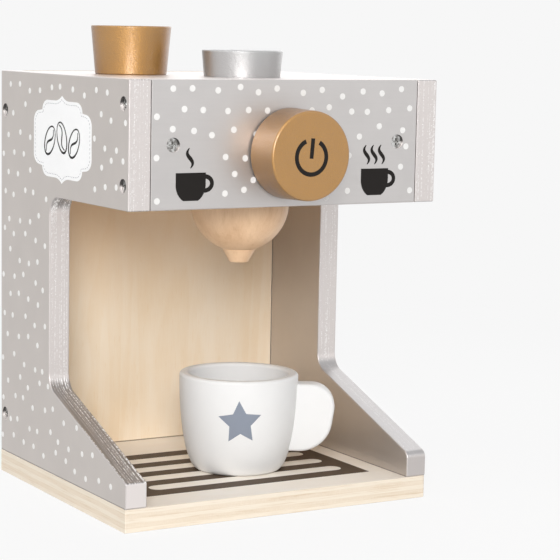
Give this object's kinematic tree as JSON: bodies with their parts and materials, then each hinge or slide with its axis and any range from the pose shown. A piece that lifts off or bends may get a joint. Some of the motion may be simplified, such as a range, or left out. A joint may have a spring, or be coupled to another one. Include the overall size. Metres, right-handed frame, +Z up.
{
  "type": "toy coffee maker",
  "caption": "Wooden toy coffee maker: C-shaped plywood body on a base, turning front knob, turned brew head with spout, lift-out capsules and a cup with a paddle handle.",
  "frame": {"origin": "middle of the base board's underside, on the surface that the toy stands on", "axes": "+Z up; -Y is the front, towards the knob; +X is to the right of someone facing the front"},
  "size_m": [0.18, 0.1802, 0.2494],
  "materials": {
    "natural_plywood": "sanded birch plywood, clear lacquer",
    "grey_paint": "satin silver-grey paint with printed white dots",
    "pale_paint": "satin pale silver-grey paint",
    "turned_wood": "sanded beech, clear lacquer",
    "gold_paint": "metallic gold paint",
    "silver_paint": "metallic silver paint",
    "white_paint": "smooth white paint",
    "dark_rubber": "matt",
    "zinc_steel": "zinc-plated"
  },
  "bodies": {
    "machine": {"base_board": "natural_plywood", "left_side_panel": "grey_paint", "right_side_panel": "grey_paint", "front_panel": "grey_paint", "back_panel": "natural_plywood", "top_board": "pale_paint", "shelf_board": "natural_plywood", "brew_head": "turned_wood", "spout": "turned_wood", "knob_spacer": "dark_rubber", "left_side_screws": "zinc_steel", "right_side_screws": "zinc_steel", "front_screws": "zinc_steel", "rear_shelf_screws": "zinc_steel", "base_screws": "zinc_steel", "brew_head_screws": "zinc_steel", "top_dowels": "turned_wood"},
    "turning_knob": {"knob": "gold_paint", "knob_axle": "turned_wood", "knob_retainer": "zinc_steel", "knob_screw": "zinc_steel"},
    "loose_capsule": {"gold_capsule": "gold_paint"},
    "seated_capsule": {"silver_capsule": "silver_paint"},
    "play_cup": {"cup": "white_paint", "cup_handle": "white_paint"}
  },
  "joints": [
    {"name": "knob_turn", "type": "hinge", "parent": "machine", "child": "turning_knob", "pos_m": [0, -0.079, 0.187], "axis": [0, -1, 0], "continuous": true},
    {"name": "loose_capsule_lift", "type": "slide", "parent": "machine", "child": "loose_capsule", "axis": [0, 0, 1], "range_m": [0, 0.05]},
    {"name": "seated_capsule_lift", "type": "slide", "parent": "machine", "child": "seated_capsule", "axis": [0, 0, 1], "range_m": [0, 0.06]},
    {"name": "cup_take_out", "type": "slide", "parent": "machine", "child": "play_cup", "axis": [0, -1, 0], "range_m": [0, 0.13]}
  ]
}
